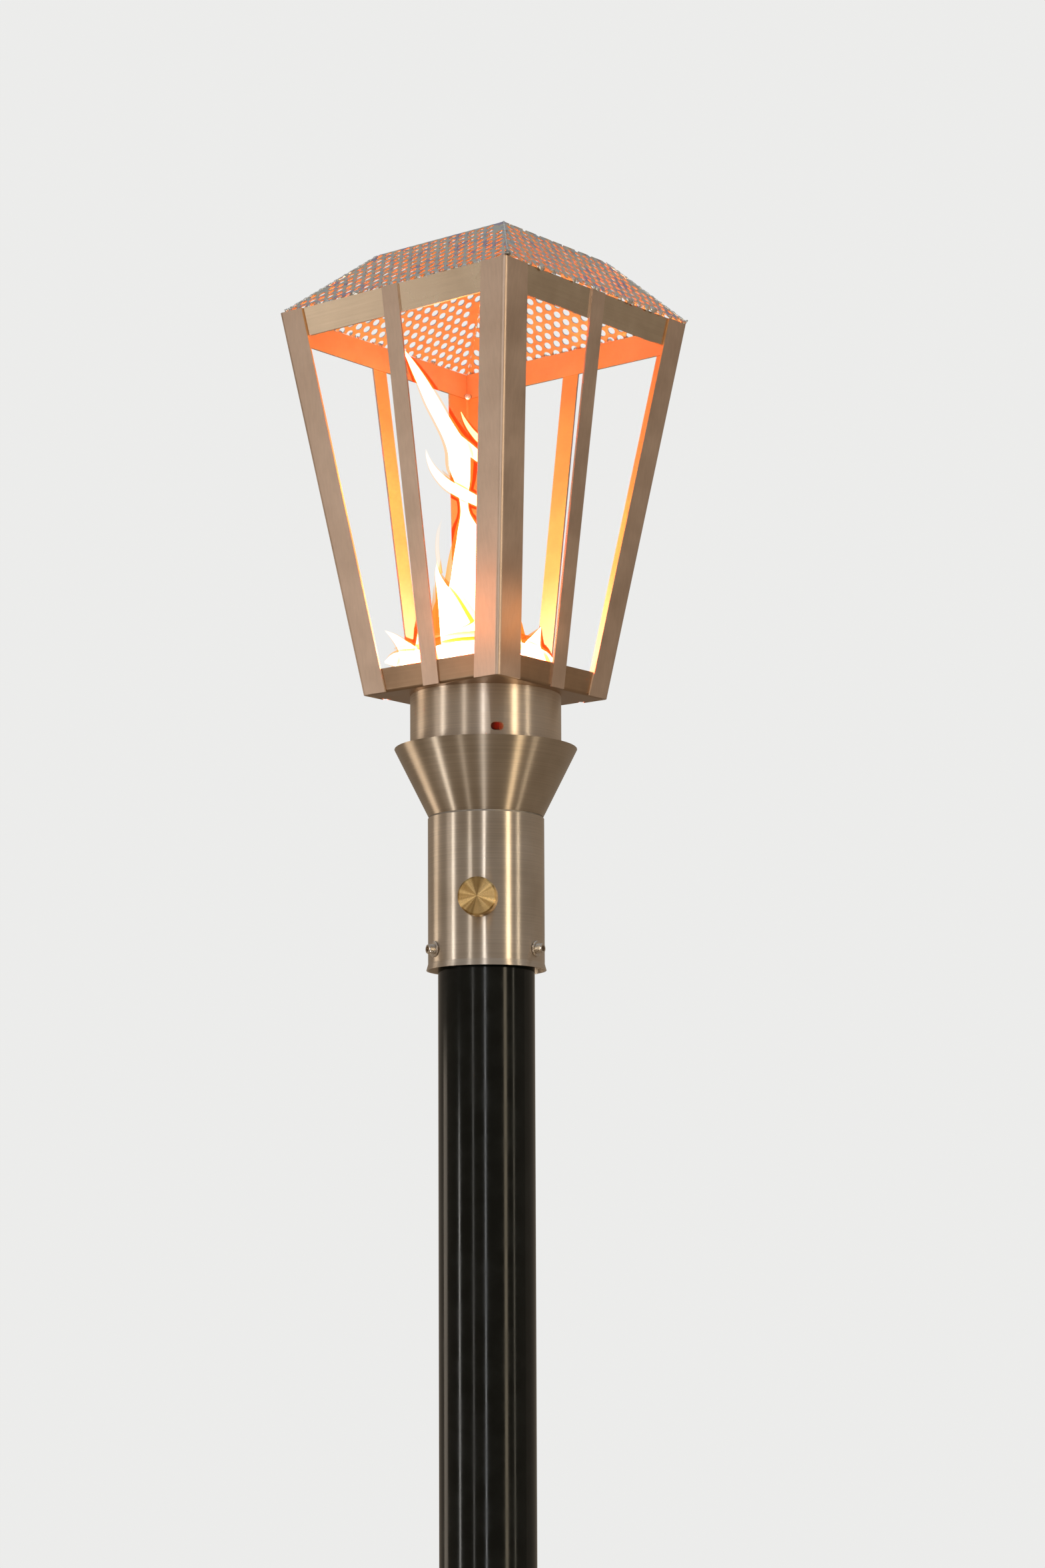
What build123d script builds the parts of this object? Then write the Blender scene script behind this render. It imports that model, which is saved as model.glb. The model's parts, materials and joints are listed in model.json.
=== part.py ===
from build123d import *
import os
from math import atan2, cos, degrees, hypot, pi, radians, sin, sqrt

# Gas garden torch: a square lantern on a funnel cup, a sleeve with a gas valve,
# and a surface-mounted pole. Millimetres, +Z up, the origin on the ground under
# the pole. The lantern's faces look along X and Y. Azimuths are measured about
# +Z from -Y towards +X.

# Fits and sheet
sheet = 1.5
roof_sheet = 1.0
slide_gap = 0.3
turn_gap = 0.05
thread_gap = 0.04

# Pole and base
pole_radius = 38.1
pole_wall = 3.0
base_width = 200.0
base_thickness = 10.0
base_corner = 12.0
anchor_spacing = 150.0
anchor_hole_radius = 7.0
sleeve_bottom = 1830.0
pole_insertion = 30.0

# Sleeve, plate and funnel cup
sleeve_gap = 6.3
sleeve_radius = pole_radius + sleeve_gap + sheet
sleeve_height = 120.0
lip_flare = 1.35
lip_height = 5.0
seat_ring_thickness = 3.0
seat_ring_overhang = 2.0
plate_thickness = 1.5
plate_recess = 1.2
vent_count = 6
vent_radius = 6.0
vent_circle = 31.0
cup_foot_radius = sleeve_radius - 0.7
cup_height = 54.0

# Set screws
screw_count = 3
screw_azimuth = 97.6
screw_height = 14.5
screw_radius = 4.0
screw_reach = sleeve_radius + 6.1
screw_socket = 4.2
insert_radius = 5.5
insert_flange_radius = 6.3
insert_flange = 1.2
insert_depth = 5.5
thread_pitch = 1.25

# Collar and lantern
lantern_bottom_width = 138.4
lantern_top_width = 231.8
lantern_height = 306.0
collar_radius = lantern_bottom_width / 2 - 9.45
collar_standout = 42.0
cup_rim_radius = collar_radius + 12.45
slot_count = 3
slot_azimuth = 48.0
slot_length = 10.0
slot_height = 6.3
slot_rise = 8.6
post_leg = 24.0
wide_leg = 27.3
post_bend = 3.5
bar_width = 15.8
front_bar_foot = 2.0
right_bar_foot = 4.5
top_band_height = 22.0
tray_flange = 18.5
tray_bend = 3.0
drain_radius = 2.5
drain_from_side = 3.6
drain_from_corner = 25.8

# Roof
roof_width = lantern_top_width - 1.8
roof_shift = (1.5, 1.5)
roof_top_width = 128.0
roof_top_shift = (5.0, 4.0)
roof_rise = 49.0
perforation_radius = 3.2
perforation_pitch = 9.5
roof_web = 0.7
seam_gap = 0.6
tack_radius = 1.7
tack_count = 4

# Valve and knob
knob_azimuth = 32.3
knob_height = 52.0
knob_radius = 15.1
knob_face_radius = 13.9
knob_depth = 11.7
knob_gap = 1.0
knob_hollow_radius = 9.3
grub_radius = 1.55
grub_setback = 7.5
mark_circle = 10.2
mark_clock = 152.5
mark_length = 3.6
mark_width = 1.1
mark_depth = 0.4
stem_radius = 3.0
plug_radius = 6.0
bush_radius = 5.0
valve_width = 22.0
valve_back = -4.0
port_offset = -14.0
port_radius = 3.0
pipe_socket = 3.0
flare_nut_width = 16.0
flare_nut_length = 12.0
panel_nut_length = 2.5
washer_radius = 8.0
washer_thickness = 1.0

# Gas line and burner
pipe_radius = 4.75
pipe_wall = 1.0
inlet_radius = 12.0
inlet_thread_radius = 8.4
inlet_thread_depth = 12.0
inlet_head = 8.0
holder_radius = 6.0
holder_width = 19.0
mixer_radius = 11.0
mixer_wall = 1.5
burner_radius = 30.0
burner_wall = 2.0
burner_rise = 8.5
burner_height = 12.0
burner_clearance = 6.0

# Levels that follow from the sizes above
pole_top = sleeve_bottom + pole_insertion
sleeve_top = sleeve_bottom + sleeve_height
plate_top = sleeve_top + plate_thickness
cup_rim = plate_top + cup_height
tray_bottom = cup_rim + collar_standout
lantern_top = tray_bottom + lantern_height
knob_level = sleeve_bottom + knob_height
burner_bottom = tray_bottom + burner_rise
taper = (lantern_top_width - lantern_bottom_width) / 2 / lantern_height
cup_slope = (cup_rim_radius - cup_foot_radius) / cup_height

nodes = {}


def add(name, *solids):
    """Keep one node: a single solid, or a group of like ones."""
    nodes[name] = solids[0] if len(solids) == 1 else Compound(children=list(solids))


standing = (Align.CENTER, Align.CENTER, Align.MIN)


def rod(radius, bottom, top, x=0, y=0):
    """An upright cylinder between two levels."""
    return Pos(x, y, bottom) * Cylinder(radius, top - bottom, align=standing)


def tube(radius, wall, bottom, top):
    return rod(radius, bottom, top) - rod(radius - wall, bottom - 1, top + 1)


def hexagon(across_flats, bottom, top, x=0, y=0):
    """An upright hexagonal prism between two levels."""
    outline = RegularPolygon(across_flats / 2, 6, major_radius=False)
    return Pos(x, y, bottom) * extrude(outline, top - bottom)


def spun(points):
    """A solid of revolution about Z from (radius, level) points."""
    wire = Wire.make_polygon([Vector(r, 0, z) for r, z in points])
    return revolve(Face(wire), Axis.Z)


def turned(shape, azimuth):
    return shape.rotate(Axis.Z, azimuth)


def square_frustum(half_bottom, half_top, bottom, top):
    lower = Pos(0, 0, bottom) * Rectangle(2 * half_bottom, 2 * half_bottom)
    upper = Pos(0, 0, top) * Rectangle(2 * half_top, 2 * half_top)
    return loft([lower, upper])


def half_width(level):
    """Half the lantern's outer width at a level."""
    return lantern_bottom_width / 2 + taper * (level - tray_bottom)


def leaning(outline, start, end):
    """A flat outline carried along a straight leaning line."""
    solid = Solid.extrude(outline.face(), Vector(*end) - Vector(*start))
    return Pos(*start) * solid


# ---- Base plate, pole and gas inlet ----

gas_pipe_bottom = base_thickness + inlet_head + 4


def base_plate():
    body = extrude(RectangleRounded(base_width, base_width, base_corner), base_thickness)
    body -= rod(inlet_radius + thread_gap, -1, base_thickness + 1)
    spacing = anchor_spacing / 2
    for x in (-spacing, spacing):
        for y in (-spacing, spacing):
            body -= rod(anchor_hole_radius, -1, base_thickness + 1, x, y)
    rim = body.edges().group_by(Axis.Z)[-1].filter_by(lambda edge: edge.length > 4 * base_corner)
    return chamfer(rim, 1.0)


def gas_inlet():
    """A bulkhead fitting with a female thread at ground level."""
    head_top = base_thickness + inlet_head
    neck_top = head_top + 14
    body = rod(inlet_radius, 0, base_thickness)
    body += hexagon(2 * inlet_radius + 6, base_thickness, head_top)
    body += rod(pipe_radius + 2.5, head_top, neck_top)
    body -= rod(inlet_thread_radius, -1, inlet_thread_depth)
    body -= rod(port_radius, 0, neck_top + 1)
    return body - rod(pipe_radius + thread_gap, gas_pipe_bottom, neck_top + 1)


def s_bend(radius, wall, bottom, bend_start, bend_end, top, offset):
    """A tube that rises at y = 0, shifts to y = offset and rises again, or the reverse."""
    first, last = offset
    path = Wire([
        Edge.make_line((0, first, bottom), (0, first, bend_start)),
        Edge.make_spline([(0, first, bend_start), (0, last, bend_end)], [(0, 0, 1), (0, 0, 1)]),
        Edge.make_line((0, last, bend_end), (0, last, top)),
    ])
    section = Pos(0, first, bottom) * (Circle(radius) - Circle(radius - wall))
    return sweep(section, path=path)


add("base_plate", base_plate())
add("pole", tube(pole_radius, pole_wall, base_thickness, pole_top))
add("gas_inlet", gas_inlet())

valve_bottom = knob_level - valve_width / 2
valve_top = knob_level + valve_width / 2
inlet_nut_bottom = valve_bottom - flare_nut_length
pipe_bend = sleeve_bottom - 40
gas_pipe = s_bend(pipe_radius, pipe_wall, gas_pipe_bottom, pipe_bend, inlet_nut_bottom - 10,
                  valve_bottom, (0, port_offset))
add("gas_pipe", turned(gas_pipe, knob_azimuth))

# ---- Sleeve, seat ring and set screws ----

sleeve_inside = sleeve_radius - sheet


def base_sleeve():
    body = spun([
        (sleeve_inside, sleeve_top),
        (sleeve_inside, sleeve_bottom + lip_height),
        (sleeve_inside + lip_flare, sleeve_bottom),
        (sleeve_radius + lip_flare, sleeve_bottom),
        (sleeve_radius, sleeve_bottom + lip_height),
        (sleeve_radius, sleeve_top),
    ])
    bush_hole = Pos(0, -sleeve_radius, knob_level) * Rot(90, 0, 0) * Cylinder(bush_radius + turn_gap, 20)
    body -= turned(bush_hole, knob_azimuth)
    insert_hole = Pos(0, -sleeve_radius, sleeve_bottom + screw_height) * Rot(90, 0, 0)
    insert_hole *= Cylinder(insert_radius + turn_gap, 20)
    for index in range(screw_count):
        body -= turned(insert_hole, screw_azimuth + index * 360 / screw_count)
    return body


def screw_insert():
    """A flanged threaded insert, its axis along Z and its flange's back at z = 0."""
    flange = rod(insert_flange_radius, 0, insert_flange)
    flange = chamfer(flange.edges().group_by(Axis.Z)[-1], 0.4)
    body = flange + rod(insert_radius, -sheet - insert_depth, 0)
    return body - rod(screw_radius + thread_gap, -20, 5)


def set_screw():
    """A socket set screw along Z, its cup point at z = 0."""
    length = screw_reach - pole_radius - turn_gap
    crest = screw_radius
    root = screw_radius - 0.6 * thread_pitch
    points = [(0, 0), (root - 0.8, 0), (root, 0.8)]
    level = 0.8
    while level + thread_pitch < length - 0.3:
        points += [(crest, level + 0.45 * thread_pitch), (crest, level + 0.6 * thread_pitch)]
        points += [(root, level + thread_pitch)]
        level += thread_pitch
    points += [(crest - 0.3, level + 0.2), (crest - 0.5, length), (0, length)]
    socket = hexagon(screw_socket, length - 3.5, length + 1)
    return spun(points) - socket


def seated_round(solid, distance):
    """Each set-screw place takes the solid, its Z axis pointing away from the pole."""
    level = sleeve_bottom + screw_height
    placed = Pos(0, -distance, level) * Rot(90, 0, 0) * solid
    return [turned(placed, screw_azimuth + index * 360 / screw_count) for index in range(screw_count)]


ring_wall = sleeve_inside - turn_gap - (pole_radius - pole_wall - seat_ring_overhang)
add("pole_seat_ring", tube(sleeve_inside - turn_gap, ring_wall, pole_top, pole_top + seat_ring_thickness))
add("base_sleeve", base_sleeve())
add("set_screw_inserts", *seated_round(screw_insert(), sleeve_radius + turn_gap))
add("set_screws", *seated_round(set_screw(), pole_radius + turn_gap))

# ---- Burner plate and funnel cup ----

def burner_plate():
    body = rod(sleeve_radius - plate_recess, sleeve_top, plate_top)
    body -= rod(holder_radius + thread_gap, sleeve_top - 1, plate_top + 1)
    vent = rod(vent_radius, sleeve_top - 1, plate_top + 1, vent_circle)
    for index in range(vent_count):
        body -= turned(vent, index * 360 / vent_count)
    return body


cup_wall = sheet * hypot(1, cup_slope)
add("burner_plate", burner_plate())
add("funnel_cup", spun([
    (cup_foot_radius - cup_wall, plate_top),
    (cup_foot_radius, plate_top),
    (cup_rim_radius, cup_rim),
    (cup_rim_radius - cup_wall, cup_rim),
]))

# ---- Valve, built with its axis along -Y and then turned to its place ----

valve_front = -(sqrt(sleeve_inside**2 - (valve_width / 2) ** 2) - turn_gap)
washer_front = -(sleeve_radius + turn_gap + washer_thickness)
nut_front = washer_front - panel_nut_length
plug_back = port_offset + 8
plug_front = port_offset - 10


def across(radius, front, back, x=0, z=knob_level):
    """A cylinder along Y between two y places."""
    return Pos(x, front, z) * Rot(-90, 0, 0) * Cylinder(radius, back - front, align=standing)


def valve_body():
    depth = valve_back - valve_front
    block = Pos(0, (valve_front + valve_back) / 2, knob_level) * Box(valve_width, depth, valve_width)
    block = chamfer(block.edges().filter_by(Axis.Y), 2.5)
    block += across(bush_radius, nut_front - 0.5, valve_front + 1)
    block -= across(plug_radius + turn_gap, plug_front - turn_gap, valve_back + 1)
    block -= across(stem_radius + turn_gap, nut_front - 2, plug_front + 1)
    block -= rod(port_radius, valve_bottom - 1, valve_top + 1, 0, port_offset)
    socket = pipe_radius + thread_gap
    block -= rod(socket, valve_bottom - 1, valve_bottom + pipe_socket, 0, port_offset)
    return block - rod(socket, valve_top - pipe_socket, valve_top + 1, 0, port_offset)


def flare_nut(bottom, top):
    """A hexagonal nut round the pipe, at the valve's port."""
    body = hexagon(flare_nut_width, bottom, top, 0, port_offset)
    body = chamfer(body.edges().group_by(Axis.Z)[0] + body.edges().group_by(Axis.Z)[-1], 0.8)
    return body - rod(pipe_radius + thread_gap, bottom - 1, top + 1, 0, port_offset)


def panel_nut():
    body = Pos(0, nut_front, knob_level) * Rot(-90, 0, 0) * hexagon(14, 0, panel_nut_length)
    return body - across(bush_radius + thread_gap, nut_front - 1, washer_front + 1)


def valve_plug():
    """The plug with its cross passage, which a half turn opens from nothing to full."""
    body = across(plug_radius, plug_front, plug_back)
    passage = Pos(0, port_offset, knob_level) * Rot(0, 30, 0) * Cylinder(port_radius - 0.5, 3 * plug_radius)
    return body - passage


add("valve_body", turned(valve_body(), knob_azimuth))
plug_cap = across(plug_radius, plug_back + slide_gap, valve_back)
add("valve_plug_cap", turned(plug_cap, knob_azimuth))
add("valve_inlet_nut", turned(flare_nut(inlet_nut_bottom, valve_bottom), knob_azimuth))
add("valve_outlet_nut", turned(flare_nut(valve_top, valve_top + 10), knob_azimuth))
washer = across(washer_radius, washer_front, washer_front + washer_thickness)
washer -= across(bush_radius + 2 * turn_gap, washer_front - 1, washer_front + 2)
add("valve_washer", turned(washer, knob_azimuth))
add("valve_panel_nut", turned(panel_nut(), knob_azimuth))

# ---- Knob, stem and plug, which turn together ----

knob_back = -(sleeve_radius + knob_gap)
knob_front = knob_back - knob_depth
stem_front = knob_back - 9.0


def mark_place(clock, front):
    return Pos(mark_circle * cos(radians(clock)), front, knob_level + mark_circle * sin(radians(clock)))


def knob():
    rim = knob_radius - knob_face_radius
    body = across(knob_radius, knob_front, knob_back)
    body = chamfer(body.edges().group_by(Axis.Y)[0], rim)
    body -= across(knob_hollow_radius, knob_back - 4.2, knob_back + 1)
    body -= across(stem_radius + thread_gap, stem_front - 0.2, knob_back)
    grub_place = knob_back - grub_setback
    body -= rod(grub_radius + turn_gap, knob_level, knob_level + knob_radius + 1, 0, grub_place)
    bar = SlotOverall(mark_length, mark_width)
    ring = SlotOverall(mark_length, 2 * mark_width) - SlotOverall(mark_length - mark_width, mark_width)
    for clock, outline in ((mark_clock, bar), (mark_clock + 180, ring)):
        cutter = extrude(outline, 2 * mark_depth)
        body -= mark_place(clock, knob_front + mark_depth) * Rot(90, 0, 0) * Rot(0, 0, clock) * cutter
    return body


def grub_screw():
    place = knob_back - grub_setback
    top = knob_level + knob_radius - 2
    body = rod(grub_radius, knob_level + stem_radius + turn_gap, top, 0, place)
    return body - hexagon(grub_radius, top - 2, top + 2, 0, place)


add("valve_plug", turned(valve_plug(), knob_azimuth))
add("valve_stem", turned(across(stem_radius, stem_front, plug_front), knob_azimuth))
add("knob", turned(knob(), knob_azimuth))
add("knob_grub_screw", turned(grub_screw(), knob_azimuth))

# ---- Jet, mixer tube and burner ----

holder_bottom = sleeve_top - 22
holder_top = plate_top + 14
mixer_bottom = plate_top + 6
jet_top = holder_top + 5


def jet_holder():
    body = hexagon(holder_width, holder_bottom, sleeve_top) + rod(holder_radius, sleeve_top, holder_top)
    body -= rod(port_radius, holder_bottom - 1, holder_top + 1)
    return body - rod(pipe_radius + thread_gap, holder_bottom - 1, holder_bottom + 8)


def mixer_tube():
    """An upright tube with a threaded foot and four air windows round the jet."""
    body = rod(mixer_radius, mixer_bottom, burner_bottom)
    body -= rod(mixer_radius - mixer_wall, mixer_bottom + 4, burner_bottom + 1)
    body -= rod(holder_radius + thread_gap, mixer_bottom - 1, mixer_bottom + 5)
    window = Box(3 * mixer_radius, 9, 16)
    centre = Pos(0, 0, jet_top + 6)
    return body - centre * window - centre * Rot(0, 0, 90) * window


def burner_body():
    """A shallow cup that takes the mixture from the tube."""
    top = burner_bottom + burner_height
    body = rod(burner_radius, burner_bottom, top)
    body -= rod(burner_radius - burner_wall, burner_bottom + burner_wall, top + 1)
    return body - rod(mixer_radius - mixer_wall, burner_bottom - 1, burner_bottom + 3)


def burner_cap():
    """A lid with two rings of flame ports."""
    bottom = burner_bottom + burner_height
    body = rod(burner_radius, bottom, bottom + 3)
    body += rod(burner_radius - burner_wall - 2 * turn_gap, bottom - 2, bottom)
    body = chamfer(body.edges().group_by(Axis.Z)[-1], 1.0)
    for count, circle in ((16, 24.0), (10, 14.0)):
        for index in range(count):
            angle = 2 * pi * index / count
            body -= rod(1.3, bottom - 3, bottom + 4, circle * cos(angle), circle * sin(angle))
    return body


outlet_pipe = s_bend(pipe_radius, pipe_wall, valve_top - 3, valve_top + 11, holder_bottom - 1,
                     holder_bottom + 8, (port_offset, 0))
add("outlet_pipe", turned(outlet_pipe, knob_azimuth))
add("jet_holder", jet_holder())
lock_nut = hexagon(holder_width, plate_top, mixer_bottom)
add("holder_lock_nut", lock_nut - rod(holder_radius + thread_gap, plate_top - 1, mixer_bottom + 1))
gas_jet = hexagon(8, holder_top, jet_top) + rod(port_radius - 2 * turn_gap, holder_top - 5, holder_top)
add("gas_jet", gas_jet - rod(0.6, holder_top - 6, jet_top + 1))
add("mixer_tube", mixer_tube())
add("burner_body", burner_body())
add("burner_cap", burner_cap())

# ---- Collar and folded tray ----

collar_seat = (collar_radius + slide_gap - (cup_foot_radius - cup_wall)) / cup_slope
collar_bottom = plate_top + collar_seat


def collar():
    body = tube(collar_radius, sheet, collar_bottom, tray_bottom)
    outline = SlotOverall(slot_length, slot_height)
    slot = Pos(0, -collar_radius + 5, cup_rim + slot_rise) * Rot(90, 0, 0) * extrude(outline, 10)
    for index in range(slot_count):
        body -= turned(slot, slot_azimuth + index * 360 / slot_count)
    return body


def bent_pan(half, bottom, top, bend):
    """A solid square pan shape with leaning sides and rounded lower edges."""
    body = square_frustum(half, half + taper * (top - bottom), bottom, top)
    corners = body.edges().filter_by(lambda edge: abs((edge @ 1 - edge @ 0).Z) > 1)
    body = fillet(corners, bend)
    return fillet(body.edges().group_by(Axis.Z)[0], bend)


def floor_tray():
    """A square pan whose four upturned flanges make the lantern's lower band."""
    outer = lantern_bottom_width / 2 - sheet
    inner = outer - sheet + taper * sheet
    top = tray_bottom + tray_flange
    body = bent_pan(outer, tray_bottom, top, tray_bend)
    body -= bent_pan(inner, tray_bottom + sheet, top + 5, tray_bend - sheet)
    body -= rod(burner_radius + burner_clearance, tray_bottom - 1, tray_bottom + 5)
    near = lantern_bottom_width / 2 - drain_from_corner
    far = lantern_bottom_width / 2 - drain_from_side
    for x, y in ((near, far), (-far, -near)):
        body -= rod(drain_radius, tray_bottom - 1, tray_bottom + 5, x, y)
    return body


add("collar", collar())
add("floor_tray", floor_tray())

# ---- Lantern frame ----

def corner_post(azimuth, first_leg, second_leg):
    """An angle section along the leaning corner edge, its bend outwards."""
    corners = [(0, 0), (-first_leg, 0), (-first_leg, sheet), (-sheet, sheet)]
    corners += [(-sheet, second_leg), (0, second_leg)]
    face = make_face(Polyline(*corners, close=True))
    bend = face.vertices().sort_by(lambda corner: corner.X - corner.Y)[-1]
    face = fillet(bend, post_bend)
    inner = face.vertices().sort_by_distance((-sheet, sheet))[0]
    face = fillet(inner, post_bend - sheet)
    low, high = half_width(tray_bottom), half_width(lantern_top)
    post = leaning(face, (low, -low, tray_bottom), (high, -high, lantern_top))
    return turned(post, azimuth - 45)


def face_bar(azimuth, foot):
    """A flat bar up the middle of one face, lapped over both bands, its foot set to one side."""
    outline = Rectangle(bar_width, sheet, align=(Align.CENTER, Align.MIN))
    start = (foot, -half_width(tray_bottom), tray_bottom)
    bar = leaning(outline, start, (0, -half_width(lantern_top), lantern_top))
    return turned(bar, azimuth)


def top_band_strips():
    """Four leaning strips behind the posts, mitred at the corners."""
    bottom = lantern_top - top_band_height
    inset = half_width(bottom) - sheet, half_width(lantern_top) - sheet
    ring = square_frustum(inset[0], inset[1], bottom, lantern_top)
    corners = ring.edges().filter_by(lambda edge: abs((edge @ 1 - edge @ 0).Z) > 1)
    ring = fillet(corners, post_bend - sheet)
    ring -= square_frustum(inset[0] - sheet, inset[1] - sheet, bottom, lantern_top)
    reach = lantern_top_width
    strips = []
    for index in range(4):
        wedge = make_face(Polyline((0, -0.1), (-reach, -reach - 0.1), (reach, -reach - 0.1), close=True))
        wedge = turned(Pos(0, 0, bottom - 1) * extrude(wedge, top_band_height + 2), 90 * index)
        strips.append((ring & wedge).solid())
    return strips


posts = {
    "front_right": (post_leg, wide_leg),
    "back_right": (post_leg, post_leg),
    "back_left": (post_leg, post_leg),
    "front_left": (post_leg, post_leg),
}
bars = {"front": front_bar_foot, "right": right_bar_foot, "back": 0.0, "left": 0.0}
for corner, (name, legs) in enumerate(posts.items()):
    add("corner_post_" + name, corner_post(45 + 90 * corner, *legs))
for side, (name, foot) in enumerate(bars.items()):
    add("face_bar_" + name, face_bar(90 * side, foot))
add("top_band_strips", *top_band_strips())

# ---- Perforated roof ----

def punched(outline, run, rise, start):
    """A flat sheet with staggered round holes in rows; holes that cross an edge stay cut open."""
    row_pitch = perforation_pitch * sin(radians(60))
    whole, cut = [], []
    for row in range(-1, int(rise / row_pitch) + 2):
        shift = perforation_pitch / 2 * (row % 2)
        for column in range(-int(run / perforation_pitch) - 2, int(run / perforation_pitch) + 3):
            x = column * perforation_pitch + shift
            y = start + row * row_pitch
            hole = Pos(x, y) * Circle(perforation_radius)
            gap = outline.wire().distance_to(Vector(x, y, 0))
            inside = outline.face().is_inside(Vector(x, y, 0))
            if inside and gap > perforation_radius + roof_web:
                whole.append(hole)
            elif gap < perforation_radius - roof_web:
                cut.append(hole)
    panel = (outline - cut).faces().sort_by(SortBy.AREA)[-1]
    return extrude(Face(panel.outer_wire(), [hole.wire() for hole in whole]), -roof_sheet)


roof_half = roof_width / 2
roof_foot = lantern_top + roof_sheet
outwards = [(0, -1), (1, 0), (0, 1), (-1, 0)]
slope_shift = (roof_top_shift[0] - roof_shift[0], roof_top_shift[1] - roof_shift[1])


def roof_slope_panel(side):
    """One leaning trapezium, set back from the hips by the seam gap."""
    out_x, out_y = outwards[side]
    run = roof_half - roof_top_width / 2 - slope_shift[0] * out_x - slope_shift[1] * out_y
    along = slope_shift[1] * out_x - slope_shift[0] * out_y
    slope = hypot(run, roof_rise)
    low = roof_half - seam_gap
    high = roof_top_width / 2 - seam_gap
    top = slope - seam_gap
    outline = make_face(Polyline((-low, 0), (low, 0), (along + high, top), (along - high, top), close=True))
    panel = punched(outline, roof_half, slope, 1.5)
    panel = Pos(0, -roof_half, 0) * Rot(degrees(atan2(roof_rise, run)), 0, 0) * panel
    return Pos(roof_shift[0], roof_shift[1], roof_foot) * turned(panel, 90 * side)


def roof_top_panel():
    half = roof_top_width / 2 - seam_gap / 2
    outline = make_face(Polyline((-half, -half), (half, -half), (half, half), (-half, half), close=True))
    panel = punched(outline, half, 2 * half, 1.5 - half)
    return Pos(roof_top_shift[0], roof_top_shift[1], roof_foot + roof_rise) * panel


def roof_tacks():
    """Small weld beads along the foot of the roof."""
    beads = []
    span = roof_half - post_leg
    for side in range(4):
        out_x, out_y = outwards[side]
        reach = roof_half + roof_shift[0] * out_x + roof_shift[1] * out_y - 0.6
        for index in range(tack_count):
            x = -span + 2 * span * (index + 0.5) / tack_count
            beads.append(turned(Pos(x, -reach, lantern_top + 0.3) * Sphere(tack_radius), 90 * side))
    return beads


add("roof_slope_panels", *[roof_slope_panel(side) for side in range(4)])
add("roof_top_panel", roof_top_panel())
add("roof_tack_welds", *roof_tacks())

os.makedirs("parts", exist_ok=True)
for name, shape in nodes.items():
    export_step(shape, f"parts/{name}.step")
    print(name, len(shape.solids()))
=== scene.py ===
import json
import math

import bpy
import numpy as np
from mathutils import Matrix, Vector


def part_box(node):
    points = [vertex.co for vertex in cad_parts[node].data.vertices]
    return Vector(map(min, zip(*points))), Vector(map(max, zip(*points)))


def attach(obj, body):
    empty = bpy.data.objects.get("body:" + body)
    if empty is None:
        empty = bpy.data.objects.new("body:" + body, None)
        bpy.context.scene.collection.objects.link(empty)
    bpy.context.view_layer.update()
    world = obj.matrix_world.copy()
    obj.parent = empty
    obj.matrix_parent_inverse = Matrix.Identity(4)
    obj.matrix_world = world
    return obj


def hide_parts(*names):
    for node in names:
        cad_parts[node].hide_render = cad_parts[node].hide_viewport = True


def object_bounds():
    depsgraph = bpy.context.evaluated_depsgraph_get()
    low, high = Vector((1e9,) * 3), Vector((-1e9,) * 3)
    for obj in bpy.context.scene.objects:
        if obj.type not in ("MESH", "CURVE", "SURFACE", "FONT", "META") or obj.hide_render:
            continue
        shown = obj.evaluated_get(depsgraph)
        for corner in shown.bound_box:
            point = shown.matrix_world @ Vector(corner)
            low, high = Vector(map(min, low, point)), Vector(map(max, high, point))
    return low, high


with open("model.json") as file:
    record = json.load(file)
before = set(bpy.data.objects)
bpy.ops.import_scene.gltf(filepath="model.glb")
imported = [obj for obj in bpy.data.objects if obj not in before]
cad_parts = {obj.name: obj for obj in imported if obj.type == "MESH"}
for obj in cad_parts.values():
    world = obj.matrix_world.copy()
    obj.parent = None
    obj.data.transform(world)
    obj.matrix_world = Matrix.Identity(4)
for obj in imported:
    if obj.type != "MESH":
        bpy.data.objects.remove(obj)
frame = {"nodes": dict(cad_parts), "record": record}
cadBox = [list(corner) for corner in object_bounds()]
print("frame loaded:", len(frame["nodes"]), "nodes")


# camera: eye height, tilted up a little, lens in millimetres on a 36 mm long side
cameraLook = {"azimuth": 38.9074, "distance": 2.6365, "aside": 0.0272, "height": 1.5496,
              "tilt": 4.8235, "roll": 0.2273, "lens": 77.4114, "shift": 0.1658}


def turnXY(x, y, degrees):
    # plain rotation about Z
    a = math.radians(degrees)
    return x * math.cos(a) - y * math.sin(a), x * math.sin(a) + y * math.cos(a)


def makeCamera(look):
    data = bpy.data.cameras.new("camera")
    data.lens = look["lens"]
    data.sensor_width = 36.0
    data.shift_y = look["shift"]
    camera = bpy.data.objects.new("camera", data)
    x, y = turnXY(look["aside"], -look["distance"], look["azimuth"])
    camera.location = (x, y, look["height"])
    camera.rotation_euler = (math.radians(90 + look["tilt"]), math.radians(look["roll"]),
                             math.radians(look["azimuth"]))
    bpy.context.scene.collection.objects.link(camera)
    bpy.context.scene.camera = camera


makeCamera(cameraLook)
print("camera placed")


# small helpers for node materials

def newMaterial(name):
    material = bpy.data.materials.new(name)
    material.use_nodes = True
    tree = material.node_tree
    return material, tree, tree.nodes["Principled BSDF"]


def addNode(tree, kind, **settings):
    node = tree.nodes.new(kind)
    for key, value in settings.items():
        if key in node.inputs:
            node.inputs[key].default_value = value
        else:
            setattr(node, key, value)
    return node


def wire(tree, source, output, target, entry):
    tree.links.new(source.outputs[output], target.inputs[entry])


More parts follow.
